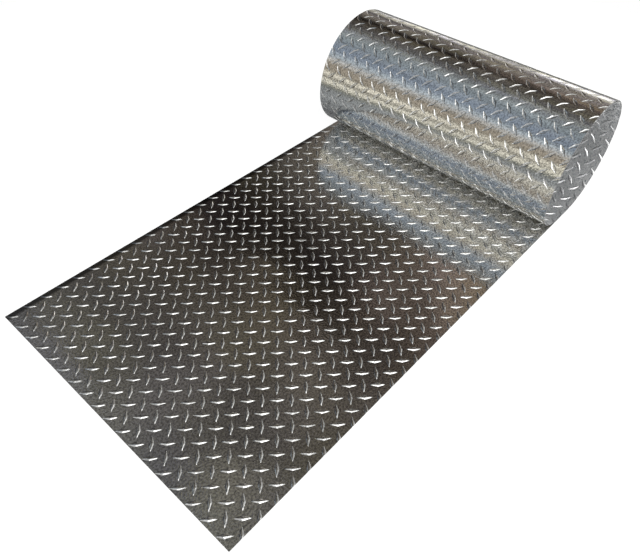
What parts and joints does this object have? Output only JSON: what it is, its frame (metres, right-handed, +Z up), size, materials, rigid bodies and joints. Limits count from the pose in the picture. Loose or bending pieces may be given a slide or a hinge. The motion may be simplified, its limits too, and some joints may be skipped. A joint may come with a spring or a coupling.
{
  "type": "aluminium tread sheet roll",
  "caption": "Thin bright aluminium sheet with a raised diamond tread of short crossed lugs, its far end wound into a loose open roll and the rest run out flat",
  "frame": {"origin": "centre of the bounding box in plan, at the floor under the flat run", "axes": "+X along the sheet from the cut edge toward the roll, Y across the sheet and along the roll's axis, +Z up"},
  "size_m": [1.1326, 0.6096, 0.261],
  "materials": {
    "aluminium": "bright mill-polished tread, mirror-like with fine scuffs"
  },
  "bodies": {
    "root": {"checker_plate": "aluminium"}
  },
  "joints": []
}
